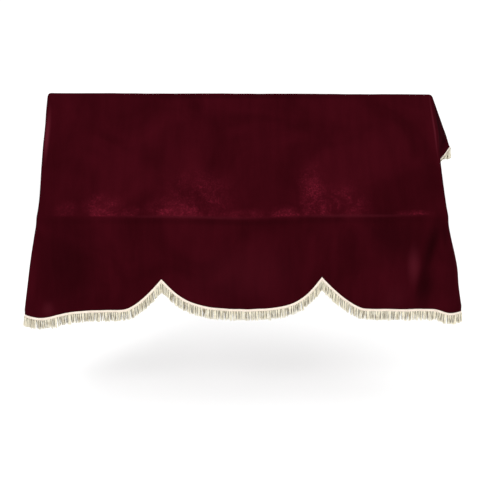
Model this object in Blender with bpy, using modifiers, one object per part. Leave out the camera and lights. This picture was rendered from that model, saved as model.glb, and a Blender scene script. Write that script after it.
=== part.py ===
"""A fitted velvet piano cover with a fringed, scalloped hem, draped as it hangs in use.

Metres, +Z up, +X to the right, the front towards -Y. The origin is the middle of the underside
of the flat top. The cloth is one sheet. A point on it is given by two distances: "along" runs
from the back hem, over the top and down the front, and "across" runs from the middle to a side.
"""

import bpy
import numpy as np

# Sizes of the draped cloth, in metres
TOP_HALF_WIDTH = 0.770      # middle to side fold on the flat top
SHELF_HALF_WIDTH = 0.761    # the same at the shelf fold and below it
TOP_HALF_DEPTH = 0.180      # middle to front or rear edge of the flat top
BACK_DROP = 0.200           # cloth that hangs behind
SLOPE_RUN = 0.230           # how far forward the sloping front reaches
SLOPE_FALL = 0.464          # how far down the shelf fold lies
SLOPE_SAG = 0.010           # how far the slope sags at its middle
FRONT_DROP = 0.365          # shelf fold to the top of the fringe tape
FLAT_HALF = 0.765           # middle to side fold, measured on the cloth
STRIP = 0.200               # side fold to the top of the fringe tape
CLOTH_THICKNESS = 0.0018
FOLD_ROUNDING = 0.008       # half the cloth that an edge of the top bends over
SIDE_ROUNDING_HEM = 0.040   # the same for the side fold where it has opened out at the hem

# Small unevenness of the hang
SHELF_SAG = 0.014           # the shelf fold lies lower at its middle
SHELF_SAG_WIDTH = 0.170
SHELF_SAG_LENGTH = 0.100
HEM_TILT = 0.004            # the hem is this much lower to the right of the scallops
FLARE_START = 0.560         # across distance where the front begins to lean out to its corners
RECESS_DEPTH = 0.020        # soft hollow fold at the lower right
RECESS_ACROSS = 0.715
RECESS_WIDTH = 0.032

# The hem runs lower again at each corner, one row for each: side, start and end across, extra
HEM_CORNERS = [
    (-1, 0.640, 0.775, 0.020),
    (1, 0.735, 0.800, 0.016),
]

# Scallops of the front hem, one row for each: side, peak across, height, inner width, outer width
SCALLOPS = [
    (-1, 0.318, 0.122, 0.084, 0.148),
    (1, 0.299, 0.129, 0.072, 0.175),
]
INNER_POWER = 1.15
OUTER_POWER = 1.45
OUTER_FOOT = 0.10           # how softly the outer side runs out at its foot

# Fringe
TAPE_WIDTH = 0.012
TAPE_GAP = 0.0006           # tape to cloth edge
LOCK_LENGTH = 0.031
LOCK_PITCH = 0.0178
LOCK_SHARE = 0.62           # share of the pitch that a lock takes at its root
LOCK_TAPER = 0.85
LOCK_UNEVEN = 0.0018
MOST_TURN = 0.8             # sine of the sharpest half turn that the tape mitres fully
LOCK_HANG = 0.90            # 1 hangs plumb, 0 stands square to the tape
FRONT_TAPE_PLUMB = 0.0      # the same for the tape, where the hem runs level
SIDE_TAPE_PLUMB = 0.75

DOWN = np.array([0.0, 0.0, -1.0])

# Distances along the cloth to its folds
REAR_EDGE = BACK_DROP
FRONT_EDGE = REAR_EDGE + 2 * TOP_HALF_DEPTH
SHELF_FOLD = FRONT_EDGE + float(np.hypot(SLOPE_RUN, SLOPE_FALL))
HEM = SHELF_FOLD + FRONT_DROP

# Each side strip is given by sections. A section holds the distance along the cloth, how far the
# side fold has moved out and back, and where the middle and the hem of the strip lie from the
# side fold: out to the side, back and down.
COLUMNS = (
    "along", "fold_out", "fold_back",
    "mid_out", "mid_back", "mid_down",
    "hem_out", "hem_back", "hem_down",
)
RIGHT_STRIP = [
    (0.000, 0.000, 0.006, 0.014, 0.085, 0.008, 0.100, 0.094, 0.050),
    (0.050, 0.000, 0.004, 0.034, 0.074, 0.012, 0.106, 0.053, 0.073),
    (0.100, 0.000, 0.002, 0.052, 0.048, 0.025, 0.092, 0.012, 0.107),
    (0.150, 0.000, 0.000, 0.046, 0.006, 0.054, 0.054, -0.014, 0.151),
    (0.200, 0.000, 0.000, 0.012, -0.008, 0.099, 0.026, -0.022, 0.199),
    (0.270, 0.000, 0.000, 0.006, 0.000, 0.100, 0.012, -0.001, 0.200),
    (0.330, 0.000, 0.000, 0.015, 0.002, 0.099, 0.030, 0.003, 0.197),
    (0.390, 0.000, 0.000, 0.023, 0.003, 0.097, 0.046, 0.006, 0.194),
    (0.450, 0.000, 0.000, 0.014, 0.005, 0.099, 0.028, 0.010, 0.198),
    (0.510, 0.000, 0.000, 0.004, 0.008, 0.100, 0.008, 0.016, 0.199),
    (0.560, 0.000, 0.000, 0.003, 0.012, 0.099, 0.006, 0.024, 0.198),
    (0.708, 0.006, 0.000, 0.060, 0.062, 0.035, 0.120, 0.124, 0.070),
    (0.729, 0.007, 0.000, 0.054, 0.066, 0.034, 0.107, 0.129, 0.067),
    (0.749, 0.007, 0.000, 0.048, 0.070, 0.033, 0.095, 0.135, 0.064),
    (0.771, 0.007, 0.000, 0.040, 0.076, 0.034, 0.081, 0.142, 0.061),
    (0.794, 0.007, 0.000, 0.032, 0.081, 0.035, 0.068, 0.150, 0.060),
    (0.830, 0.008, 0.000, 0.024, 0.087, 0.037, 0.051, 0.167, 0.068),
    (0.880, 0.008, 0.000, 0.018, 0.091, 0.039, 0.040, 0.179, 0.074),
    (0.950, 0.007, 0.000, 0.017, 0.092, 0.039, 0.031, 0.184, 0.076),
    (1.050, 0.006, 0.000, 0.020, 0.091, 0.038, 0.028, 0.184, 0.076),
    (1.150, 0.010, -0.002, 0.043, 0.070, 0.034, 0.034, 0.166, 0.070),
    (1.250, 0.012, -0.006, 0.064, 0.048, 0.028, 0.046, 0.146, 0.063),
    (1.350, 0.009, -0.011, 0.079, 0.038, 0.016, 0.074, 0.134, 0.044),
    (1.443, 0.005, -0.017, 0.097, 0.036, 0.002, 0.100, 0.128, 0.024),
]
LEFT_STRIP = [
    (0.000, 0.000, 0.009, 0.018, 0.080, 0.009, 0.106, 0.086, 0.052),
    (0.050, 0.000, 0.006, 0.038, 0.070, 0.014, 0.110, 0.047, 0.074),
    (0.100, 0.000, 0.003, 0.054, 0.044, 0.026, 0.094, 0.010, 0.108),
    (0.150, 0.000, 0.000, 0.045, 0.006, 0.054, 0.052, -0.014, 0.151),
    (0.200, 0.000, 0.000, 0.011, -0.008, 0.099, 0.024, -0.022, 0.199),
    (0.270, 0.000, 0.000, 0.007, 0.000, 0.100, 0.013, -0.002, 0.200),
    (0.330, 0.000, 0.000, 0.012, 0.002, 0.099, 0.024, 0.005, 0.198),
    (0.380, 0.000, 0.000, 0.020, 0.006, 0.098, 0.040, 0.012, 0.195),
    (0.430, 0.000, 0.000, 0.014, 0.010, 0.099, 0.026, 0.020, 0.197),
    (0.480, 0.000, 0.000, 0.006, 0.016, 0.100, 0.010, 0.032, 0.197),
    (0.520, 0.000, 0.000, 0.005, 0.021, 0.099, 0.008, 0.042, 0.196),
    (0.560, 0.005, 0.000, 0.007, 0.027, 0.098, 0.012, 0.055, 0.193),
    (0.600, 0.006, 0.000, 0.028, 0.068, 0.068, 0.034, 0.103, 0.166),
    (0.640, 0.007, 0.000, 0.027, 0.073, 0.054, 0.048, 0.135, 0.135),
    (0.680, 0.008, 0.000, 0.022, 0.080, 0.053, 0.056, 0.131, 0.105),
    (0.730, 0.009, 0.000, 0.016, 0.090, 0.040, 0.057, 0.147, 0.110),
    (0.800, 0.010, 0.000, 0.018, 0.090, 0.040, 0.049, 0.161, 0.107),
    (0.870, 0.009, 0.000, 0.019, 0.091, 0.040, 0.039, 0.176, 0.087),
    (0.950, 0.005, 0.000, 0.018, 0.092, 0.039, 0.031, 0.184, 0.077),
    (1.050, 0.002, 0.000, 0.018, 0.092, 0.038, 0.026, 0.184, 0.076),
    (1.150, 0.008, -0.004, 0.038, 0.076, 0.034, 0.026, 0.170, 0.070),
    (1.250, 0.009, -0.012, 0.055, 0.059, 0.028, 0.034, 0.157, 0.062),
    (1.350, 0.009, -0.024, 0.068, 0.052, 0.015, 0.060, 0.153, 0.042),
    (1.443, 0.009, -0.037, 0.079, 0.054, 0.000, 0.084, 0.151, 0.020),
]

# Beside the right front corner of the top the strip folds into an ear. It creases in a straight
# line from the corner to a tip on the side hem. The left strip is tucked back there instead.
EAR_TIP = 0.708             # distance along the cloth to the tip
EAR_GAP = np.array([-0.004, 0.014, 0.001])      # tip to the hem of the layer behind it

# The rows down to an ear's tip are shared out like the columns of its strip, so that the crease
# runs along the diagonals of the mesh.
STRIP_START = 0.07
STRIP_STEPS = 6

# Rows of the cloth's mesh, one stretch a line: end along the cloth and number of steps
ROW_STRETCHES = [
    (REAR_EDGE - 0.016, 4),
    (REAR_EDGE + 0.016, 3),
    (FRONT_EDGE - 0.010, 7),
    (FRONT_EDGE + (EAR_TIP - FRONT_EDGE) * STRIP_START, 3),
    (EAR_TIP, STRIP_STEPS),
    (EAR_TIP + 0.088, 3),
    (SHELF_FOLD - 0.018, 5),
    (SHELF_FOLD + 0.018, 3),
    (HEM, 7),
]

# Columns of the mesh from a scallop's peak out to the side hem, in the same form
SIDE_STRETCHES = [
    (0.400, 3),
    (0.600, 4),
    (FLAT_HALF - 0.014, 4),
    (FLAT_HALF + STRIP * STRIP_START, 3),
    (FLAT_HALF + STRIP, STRIP_STEPS),
]
MIDDLE_STEPS = 14


def clear_scene():
    for old in list(bpy.data.objects):
        bpy.data.objects.remove(old)


def ease(value):
    """A smooth step from 0 to 1."""
    value = np.clip(value, 0.0, 1.0)
    return value * value * (3.0 - 2.0 * value)


def smooth_curve(knots, values, along):
    """A smooth curve through values that are given at knots."""
    slopes = np.gradient(values, knots)
    along = np.clip(along, knots[0], knots[-1])
    cell = np.clip(np.searchsorted(knots, along, side="right") - 1, 0, len(knots) - 2)
    step = knots[cell + 1] - knots[cell]
    f = (along - knots[cell]) / step
    start = (1 + 2 * f) * (1 - f) ** 2 * values[cell] + f * (1 - f) ** 2 * step * slopes[cell]
    end = f * f * (3 - 2 * f) * values[cell + 1] - f * f * (1 - f) * step * slopes[cell + 1]
    return start + end


def sharp_profile(along):
    """Depth and height of the middle section, with sharp folds."""
    stations = [0.0, REAR_EDGE, FRONT_EDGE, SHELF_FOLD, HEM]
    depths = [TOP_HALF_DEPTH, TOP_HALF_DEPTH, -TOP_HALF_DEPTH]
    depths += [-TOP_HALF_DEPTH - SLOPE_RUN] * 2
    heights = [-BACK_DROP, 0.0, 0.0, -SLOPE_FALL, -SLOPE_FALL - FRONT_DROP]
    y = np.interp(along, stations, depths)
    z = np.interp(along, stations, heights)
    slope = np.clip((along - FRONT_EDGE) / (SHELF_FOLD - FRONT_EDGE), 0.0, 1.0)
    sag = SLOPE_SAG * np.sin(np.pi * slope)
    length = SHELF_FOLD - FRONT_EDGE
    return y + sag * SLOPE_FALL / length, z - sag * SLOPE_RUN / length


def profile(along):
    """The same section with its folds rounded, as the mean of the sharp one over a short way."""
    reach = np.minimum(FOLD_ROUNDING, np.minimum(along, np.maximum(HEM - along, 0.0)))
    samples = [sharp_profile(along + share * reach) for share in np.linspace(-1, 1, 7)]
    y = np.mean([sample[0] for sample in samples], axis=0)
    z = np.mean([sample[1] for sample in samples], axis=0)
    return y, z


def half_width(along):
    """Distance of the side fold from the middle."""
    slope = (along - FRONT_EDGE) / (SHELF_FOLD - FRONT_EDGE)
    return TOP_HALF_WIDTH + (SHELF_HALF_WIDTH - TOP_HALF_WIDTH) * np.clip(slope, 0.0, 1.0)


def strip_lines(table, along):
    """How far the side fold moves, and the lines along the middle and the hem of a strip."""
    section = dict(zip(COLUMNS, np.array(table).T))
    knots = section["along"]
    depth, height = sharp_profile(knots)
    moved = [smooth_curve(knots, section[name], along) for name in ("fold_out", "fold_back")]
    lines = []
    for line in ("mid", "hem"):
        out = half_width(knots) + section["fold_out"] + section[line + "_out"]
        back = depth + section["fold_back"] + section[line + "_back"]
        up = height - section[line + "_down"]
        lines.append([smooth_curve(knots, values, along) for values in (out, back, up)])
    return moved, lines[0], lines[1]


def ear(along, u, fold):
    """Places on the right strip where it creases from the front corner. u is 1 at its hem."""
    line = strip_lines(RIGHT_STRIP, np.array([FRONT_EDGE, EAR_TIP]))[2]
    start, tip = np.stack(line, axis=-1)
    corner = np.array([TOP_HALF_WIDTH, -TOP_HALF_DEPTH, 0.0])
    share = np.clip((along - FRONT_EDGE) / (EAR_TIP - FRONT_EDGE), 1e-6, 1 - 1e-6)[..., None]
    u = u[..., None]
    crease = corner + (tip - corner) * share
    hem = start + (tip + EAR_GAP - start) * share
    before = fold + (crease - fold) * u / share
    after = crease + (hem - crease) * (u - share) / (1 - share)
    return np.where(u < share, before, after)


def sharp_cloth(along, across):
    """Places on the inner face of the cloth, with a sharp side fold."""
    y, z = profile(along)
    right = across > 0
    out = np.abs(across)
    left_lines = strip_lines(LEFT_STRIP, along)
    right_lines = strip_lines(RIGHT_STRIP, along)
    moved, mid, hem = [
        [np.where(right, b, a) for a, b in zip(left_line, right_line)]
        for left_line, right_line in zip(left_lines, right_lines)
    ]

    lean = ease((out - FLARE_START) / (FLAT_HALF - FLARE_START))
    below = np.clip((along - SHELF_FOLD) / FRONT_DROP, 0.0, 1.0)
    recess = np.exp(-(((across - RECESS_ACROSS) / RECESS_WIDTH) ** 2)) * RECESS_DEPTH * below
    shelf_sag = SHELF_SAG * np.exp(-((across / SHELF_SAG_WIDTH) ** 2))
    shelf_sag = shelf_sag * np.exp(-(((along - SHELF_FOLD) / SHELF_SAG_LENGTH) ** 2))
    x = half_width(along) * np.minimum(out, FLAT_HALF) / FLAT_HALF + lean * moved[0]
    y = y + lean * moved[1] + recess - shelf_sag / 2
    z = z - shelf_sag / 2

    u = np.clip((out - FLAT_HALF) / STRIP, 0.0, 1.0)
    to_mid = 4 * u * (1 - u)
    to_hem = u * (2 * u - 1)
    to_fold = 1 - to_mid - to_hem
    fold = np.stack([x, y, z], axis=-1)
    places = np.stack([
        start * to_fold + middle * to_mid + end * to_hem
        for start, middle, end in zip((x, y, z), mid, hem)
    ], axis=-1)
    here = (across > FLAT_HALF) & (along > FRONT_EDGE) & (along < EAR_TIP)
    places = np.where(here[..., None], ear(along, u, fold), places)
    places[..., 0] *= np.where(right, 1, -1)
    places[..., 2] -= np.maximum(along - HEM, 0.0)
    return places


def cloth_points(along, across):
    """Places on the inner face, with the side fold rounded and opening out towards the hem."""
    below = ease((along - SHELF_FOLD) / FRONT_DROP)
    reach = FOLD_ROUNDING + (SIDE_ROUNDING_HEM - FOLD_ROUNDING) * below
    reach = np.minimum(reach, FLAT_HALF + STRIP - np.abs(across))
    samples = [sharp_cloth(along, across + share * reach) for share in np.linspace(-1, 1, 7)]
    return np.mean(samples, axis=0)


def scallop(across):
    """How far the front hem rises above its lowest line."""
    rise = np.zeros_like(across)
    for side, peak, height, inner, outer in SCALLOPS:
        past = side * across - peak
        inside = np.exp(-((np.maximum(-past, 0.0) / inner) ** INNER_POWER))
        left_over = 1 - np.maximum(past, 0.0) / outer
        outside = ((np.hypot(left_over, OUTER_FOOT) + left_over) / 2) ** OUTER_POWER
        here = side * across > 0
        rise = rise + np.where(here, height * np.where(past < 0, inside, outside), 0.0)
    return rise


def hem_along(across):
    """Distance along the cloth at which it ends, for each place across."""
    along = HEM - scallop(across) + HEM_TILT * np.clip(across / FLAT_HALF, -1, 1)
    for side, start, end, extra in HEM_CORNERS:
        along = along + extra * ease((side * across - start) / (end - start))
    return along


def stretches(start, table):
    """Stations from a start and a table of stretch ends and steps."""
    stations = [start]
    for end, steps in table:
        stations += list(np.linspace(stations[-1], end, steps + 1)[1:])
    return stations


def cloth_grid():
    """Rows from the back hem to the front hem, columns from left to right."""
    rows = np.array(stretches(0.0, ROW_STRETCHES))
    left_peak = SCALLOPS[0][1]
    right_peak = SCALLOPS[1][1]
    left = [-value for value in stretches(left_peak, SIDE_STRETCHES)][::-1]
    right = stretches(right_peak, SIDE_STRETCHES)
    middle = list(np.linspace(-left_peak, right_peak, MIDDLE_STEPS + 1)[1:-1])
    columns = np.array(left + middle + right)
    along, across = np.meshgrid(rows, columns, indexing="ij")
    stretch = (hem_along(across) - SHELF_FOLD) / FRONT_DROP
    along = np.where(along > SHELF_FOLD, SHELF_FOLD + (along - SHELF_FOLD) * stretch, along)
    return cloth_points(along, across)


def cloth_faces(rows, columns):
    """Faces of the grid. At the ear each is two triangles that meet along the crease's way."""
    stations = np.array(stretches(0.0, ROW_STRETCHES))
    first = columns - 1 - STRIP_STEPS - 2
    faces = []
    for i in range(rows - 1):
        creased = FRONT_EDGE - 0.005 < stations[i] < EAR_TIP - 0.005
        for j in range(columns - 1):
            a = i * columns + j
            b, c, d = a + columns, a + columns + 1, a + 1
            if creased and j >= first:
                faces += [(a, b, c), (a, c, d)]
            else:
                faces.append((a, b, c, d))
    return faces


def unit(vectors):
    return vectors / np.linalg.norm(vectors, axis=-1, keepdims=True)


def tape_frame(edge, inner, plumb_share):
    """Directions away from the cloth at its edge, square to it and lengthened at a point.

    A level edge also lets its tape hang, by the given share.
    """
    steps = unit(np.diff(edge, axis=0))
    before = np.vstack([steps[:1], steps])
    after = np.vstack([steps, steps[-1:]])
    tangent = unit(before + after)
    away = edge - inner
    away = unit(away - np.sum(away * tangent, axis=1, keepdims=True) * tangent)
    plumb = plumb_share * (1 - tangent[:, 2:] ** 2)
    away = unit(away * (1 - plumb) + DOWN * plumb)
    turn = np.clip(np.sum(before * away, axis=1, keepdims=True), -MOST_TURN, MOST_TURN)
    return away / np.sqrt(1 - turn * turn)


def fringe_mesh(edge, inner, plumb_share, flip):
    """A comb: a tape along the cloth's edge and the locks that hang from it."""
    away = tape_frame(edge, inner, plumb_share)
    top = edge + away * TAPE_GAP
    bottom = edge + away * (TAPE_GAP + TAPE_WIDTH)
    drop = unit(unit(away) * (1 - LOCK_HANG) + DOWN * LOCK_HANG)
    points = [top[0], bottom[0]]
    faces = []
    last = (0, 1)
    lock = 0
    for cell in range(len(edge) - 1):
        length = np.linalg.norm(edge[cell + 1] - edge[cell])
        count = round(length / LOCK_PITCH)
        breaks = []
        for k in range(count):
            breaks += [(k + 0.5 - LOCK_SHARE / 2) / count, (k + 0.5 + LOCK_SHARE / 2) / count]
        for number, f in enumerate(breaks + [1.0]):
            points.append(top[cell] * (1 - f) + top[cell + 1] * f)
            points.append(bottom[cell] * (1 - f) + bottom[cell + 1] * f)
            here = (len(points) - 2, len(points) - 1)
            faces.append((last[0], here[0], here[1], last[1]))
            if number % 2 == 1:
                fall = drop[cell] * (1 - f) + drop[cell + 1] * f
                reach = LOCK_LENGTH + LOCK_UNEVEN * np.sin(lock * 2.4)
                left_root = points[last[1]]
                right_root = points[here[1]]
                middle = (left_root + right_root) / 2
                points.append(middle + (left_root - middle) * LOCK_TAPER + fall * reach)
                points.append(middle + (right_root - middle) * LOCK_TAPER + fall * reach)
                faces.append((last[1], here[1], len(points) - 1, len(points) - 2))
                lock += 1
            last = here
    if flip:
        faces = [face[::-1] for face in faces]
    return points, faces


def add_sheet(name, points, faces, material, collection):
    """A thin sheet of cloth, thickened outwards."""
    mesh = bpy.data.meshes.new(name)
    mesh.from_pydata([tuple(point) for point in points], [], faces)
    mesh.materials.append(material)
    mesh.shade_smooth()
    sheet = bpy.data.objects.new(name, mesh)
    collection.objects.link(sheet)
    thicken = sheet.modifiers.new("thickness", "SOLIDIFY")
    thicken.thickness = CLOTH_THICKNESS
    thicken.offset = 1.0
    return sheet


def add_material(name, colour, roughness):
    material = bpy.data.materials.new(name)
    material.use_nodes = True
    shader = material.node_tree.nodes["Principled BSDF"]
    shader.inputs["Base Color"].default_value = (*colour, 1.0)
    shader.inputs["Roughness"].default_value = roughness
    shader.inputs["Metallic"].default_value = 0.0
    material.diffuse_color = (*colour, 1.0)
    return material


def main():
    clear_scene()
    collection = bpy.data.collections.new("piano_cover")
    bpy.context.scene.collection.children.link(collection)
    velvet = add_material("velvet", (0.045, 0.003, 0.007), 0.85)
    yarn = add_material("yarn", (0.70, 0.58, 0.40), 0.80)

    grid = cloth_grid()
    add_sheet("cloth", grid.reshape(-1, 3), cloth_faces(*grid.shape[:2]), velvet, collection)

    combs = [
        ("fringe_front", grid[-1], grid[-2], FRONT_TAPE_PLUMB, True),
        ("fringe_right", grid[:, -1], grid[:, -2], SIDE_TAPE_PLUMB, False),
        ("fringe_left", grid[:, 0], grid[:, 1], SIDE_TAPE_PLUMB, True),
    ]
    for name, edge, inner, plumb_share, flip in combs:
        points, comb_faces = fringe_mesh(edge, inner, plumb_share, flip)
        add_sheet(name, points, comb_faces, yarn, collection)


main()
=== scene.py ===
"""Looks of a fitted velvet piano cover with a scalloped, fringed hem, draped as it hangs in use.

The scene is in metres, +Z up, +X to the right, the front towards -Y. The origin is the middle of
the underside of the flat top. The cloth is one sheet. A point on it is given by two distances:
"along" runs from the back hem, over the top and down the front, and "across" runs from the middle
to a side. Both are measured on the flat cloth.
"""

import math

import bpy
import numpy as np
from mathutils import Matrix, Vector

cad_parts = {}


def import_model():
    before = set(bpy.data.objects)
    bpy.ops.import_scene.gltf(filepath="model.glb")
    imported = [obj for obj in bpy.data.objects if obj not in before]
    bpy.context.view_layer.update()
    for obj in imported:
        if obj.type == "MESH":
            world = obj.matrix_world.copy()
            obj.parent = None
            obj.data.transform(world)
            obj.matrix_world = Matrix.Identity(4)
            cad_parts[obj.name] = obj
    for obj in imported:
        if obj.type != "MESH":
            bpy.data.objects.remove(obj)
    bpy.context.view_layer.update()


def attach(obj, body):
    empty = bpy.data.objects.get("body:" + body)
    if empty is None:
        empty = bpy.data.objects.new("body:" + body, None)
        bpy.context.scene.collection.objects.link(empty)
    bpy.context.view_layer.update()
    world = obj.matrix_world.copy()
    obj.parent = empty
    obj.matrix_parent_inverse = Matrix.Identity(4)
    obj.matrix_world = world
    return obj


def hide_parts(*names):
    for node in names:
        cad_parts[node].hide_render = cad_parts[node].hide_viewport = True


# Sizes of the draped cloth, in metres
TOP_HALF_WIDTH = 0.770      # middle to side fold on the flat top
SHELF_HALF_WIDTH = 0.761    # the same at the shelf fold and below it
TOP_HALF_DEPTH = 0.180      # middle to front or rear edge of the flat top
BACK_DROP = 0.200           # cloth that hangs behind
SLOPE_RUN = 0.230           # how far forward the sloping front reaches
SLOPE_FALL = 0.464          # how far down the shelf fold lies
SLOPE_SAG = 0.010           # how far the slope sags at its middle
FRONT_DROP = 0.365          # shelf fold to the top of the fringe tape
FLAT_HALF = 0.765           # middle to side fold, measured on the cloth
STRIP = 0.200               # side fold to the top of the fringe tape
CLOTH_THICKNESS = 0.0018
FOLD_ROUNDING = 0.008       # half the cloth that an edge of the top bends over
SIDE_ROUNDING_HEM = 0.040   # the same for the side fold where it has opened out at the hem
ROUNDING_SAMPLES = np.linspace(-1, 1, 7)        # where the mean over a rounding is taken

# Small unevenness of the hang
SHELF_SAG = 0.014           # the shelf fold lies lower at its middle
SHELF_SAG_WIDTH = 0.170
SHELF_SAG_LENGTH = 0.100
HEM_TILT = 0.004            # the hem is this much lower to the right of the scallops
FLARE_START = 0.560         # across distance where the front begins to lean out to its corners
RECESS_DEPTH = 0.020        # soft hollow fold at the lower right
RECESS_ACROSS = 0.715
RECESS_WIDTH = 0.032

# The hem runs lower again at each corner, one row for each: side, start and end across, extra
HEM_CORNERS = [
    (-1, 0.640, 0.775, 0.020),
    (1, 0.735, 0.800, 0.016),
]

# Scallops of the front hem, one row for each: side, peak across, height, inner width, outer width
SCALLOPS = [
    (-1, 0.318, 0.122, 0.084, 0.148),
    (1, 0.299, 0.129, 0.072, 0.175),
]
INNER_POWER = 1.15
OUTER_POWER = 1.45
OUTER_FOOT = 0.10           # how softly the outer side runs out at its foot

# Distances along the cloth to its folds
REAR_EDGE = BACK_DROP
FRONT_EDGE = REAR_EDGE + 2 * TOP_HALF_DEPTH
SHELF_FOLD = FRONT_EDGE + float(np.hypot(SLOPE_RUN, SLOPE_FALL))
HEM = SHELF_FOLD + FRONT_DROP

# Each side strip is given by sections, in millimetres. A section holds the distance along the
# cloth, how far the side fold has moved out and back, and where the middle and the hem of the
# strip lie from the side fold: out to the side, back and down.
COLUMNS = (
    "along", "fold_out", "fold_back",
    "mid_out", "mid_back", "mid_down",
    "hem_out", "hem_back", "hem_down",
)
RIGHT_STRIP = [
    (0, 0, 6, 14, 85, 8, 100, 94, 50),
    (50, 0, 4, 34, 74, 12, 106, 53, 73),
    (100, 0, 2, 52, 48, 25, 92, 12, 107),
    (150, 0, 0, 46, 6, 54, 54, -14, 151),
    (200, 0, 0, 12, -8, 99, 26, -22, 199),
    (270, 0, 0, 6, 0, 100, 12, -1, 200),
    (330, 0, 0, 15, 2, 99, 30, 3, 197),
    (390, 0, 0, 23, 3, 97, 46, 6, 194),
    (450, 0, 0, 14, 5, 99, 28, 10, 198),
    (510, 0, 0, 4, 8, 100, 8, 16, 199),
    (560, 0, 0, 3, 12, 99, 6, 24, 198),
    (708, 6, 0, 60, 62, 35, 120, 124, 70),
    (729, 7, 0, 54, 66, 34, 107, 129, 67),
    (749, 7, 0, 48, 70, 33, 95, 135, 64),
    (771, 7, 0, 40, 76, 34, 81, 142, 61),
    (794, 7, 0, 32, 81, 35, 68, 150, 60),
    (830, 8, 0, 24, 87, 37, 51, 167, 68),
    (880, 8, 0, 18, 91, 39, 40, 179, 74),
    (950, 7, 0, 17, 92, 39, 31, 184, 76),
    (1050, 6, 0, 20, 91, 38, 28, 184, 76),
    (1150, 10, -2, 43, 70, 34, 34, 166, 70),
    (1250, 12, -6, 64, 48, 28, 46, 146, 63),
    (1350, 9, -11, 79, 38, 16, 74, 134, 44),
    (1443, 5, -17, 97, 36, 2, 100, 128, 24),
]
LEFT_STRIP = [
    (0, 0, 9, 18, 80, 9, 106, 86, 52),
    (50, 0, 6, 38, 70, 14, 110, 47, 74),
    (100, 0, 3, 54, 44, 26, 94, 10, 108),
    (150, 0, 0, 45, 6, 54, 52, -14, 151),
    (200, 0, 0, 11, -8, 99, 24, -22, 199),
    (270, 0, 0, 7, 0, 100, 13, -2, 200),
    (330, 0, 0, 12, 2, 99, 24, 5, 198),
    (380, 0, 0, 20, 6, 98, 40, 12, 195),
    (430, 0, 0, 14, 10, 99, 26, 20, 197),
    (480, 0, 0, 6, 16, 100, 10, 32, 197),
    (520, 0, 0, 5, 21, 99, 8, 42, 196),
    (560, 5, 0, 7, 27, 98, 12, 55, 193),
    (600, 6, 0, 28, 68, 68, 34, 103, 166),
    (640, 7, 0, 27, 73, 54, 48, 135, 135),
    (680, 8, 0, 22, 80, 53, 56, 131, 105),
    (730, 9, 0, 16, 90, 40, 57, 147, 110),
    (800, 10, 0, 18, 90, 40, 49, 161, 107),
    (870, 9, 0, 19, 91, 40, 39, 176, 87),
    (950, 5, 0, 18, 92, 39, 31, 184, 77),
    (1050, 2, 0, 18, 92, 38, 26, 184, 76),
    (1150, 8, -4, 38, 76, 34, 26, 170, 70),
    (1250, 9, -12, 55, 59, 28, 34, 157, 62),
    (1350, 9, -24, 68, 52, 15, 60, 153, 42),
    (1443, 9, -37, 79, 54, 0, 84, 151, 20),
]

# Beside the right front corner of the top the strip folds into an ear. It creases in a straight
# line from the corner to a tip on the side hem. The left strip is tucked back there instead.
EAR_TIP = 0.708             # distance along the cloth to the tip
EAR_GAP = np.array([-0.004, 0.014, 0.001])      # tip to the hem of the layer behind it

# The rows down to the ear's tip are shared out like the columns of its strip, so that the crease
# runs along the diagonals of the mesh.
STRIP_START = 0.12
STRIP_STEPS = 24

# Rows of the fine cloth, one stretch a line: end along the cloth and number of steps
ROW_STRETCHES = [
    (0.024, 5),
    (REAR_EDGE - 0.022, 16),
    (REAR_EDGE + 0.022, 8),
    (FRONT_EDGE - 0.018, 26),
    (FRONT_EDGE + (EAR_TIP - FRONT_EDGE) * STRIP_START, 7),
    (EAR_TIP, STRIP_STEPS),
    (EAR_TIP + 0.090, 14),
    (SHELF_FOLD - 0.024, 24),
    (SHELF_FOLD + 0.024, 10),
    (HEM, 46),
]

# Columns from a scallop's peak out to the side hem, in the same form
SIDE_STRETCHES = [
    (0.400, 12),
    (0.600, 22),
    (FLAT_HALF - 0.024, 18),
    (FLAT_HALF + STRIP * STRIP_START, 9),
    (FLAT_HALF + STRIP, STRIP_STEPS),
]
MIDDLE_STEPS = 68
HEM_STEPS = 3               # rows of cloth under the fringe tape
HEM_UNDER_TAPE = 0.92       # share of the tape's width that they take
PLACE_SLACK = 0.002         # rounding left over when flat places are compared

# Soft creases, one row for each: along and across at the start, the same at the end, half width,
# height (a hollow is below zero). Each fades out towards both ends.
CREASE_FADE = 0.35          # share of its length that this takes
CREASE_END = 1.15           # share at which it is gone
CREASES = [
    (1.090, 0.745, 1.430, 0.610, 0.034, 0.0080),
    (1.095, 0.752, 1.440, 0.668, 0.024, -0.0080),
    (1.150, 0.700, 1.420, 0.560, 0.046, -0.0050),
    (1.100, 0.775, 1.440, 0.790, 0.024, 0.0060),
    (1.090, -0.750, 1.430, -0.640, 0.040, 0.0055),
    (1.120, -0.770, 1.440, -0.715, 0.028, -0.0060),
    (1.085, -0.560, 1.330, -0.500, 0.060, -0.0020),
    (1.100, 0.120, 1.380, 0.060, 0.070, 0.0016),
    (1.090, -0.180, 1.400, -0.140, 0.080, -0.0014),
    (0.585, 0.660, 0.900, 0.600, 0.050, -0.0020),
    (0.600, 0.740, 1.060, 0.700, 0.035, 0.0016),
    (0.590, -0.640, 0.960, -0.600, 0.060, -0.0018),
    (0.640, 0.230, 1.050, 0.300, 0.080, -0.0020),
    (0.700, -0.260, 1.060, -0.330, 0.090, 0.0018),
    (0.620, -0.020, 0.980, -0.080, 0.110, -0.0018),
    (0.240, -0.500, 0.520, -0.420, 0.060, 0.0010),
    (0.230, 0.300, 0.500, 0.420, 0.060, 0.0010),
    (0.020, -0.350, 0.180, -0.360, 0.050, 0.0040),
    (0.020, 0.100, 0.180, 0.090, 0.060, -0.0035),
    (0.020, 0.480, 0.180, 0.500, 0.050, 0.0040),
]

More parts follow.
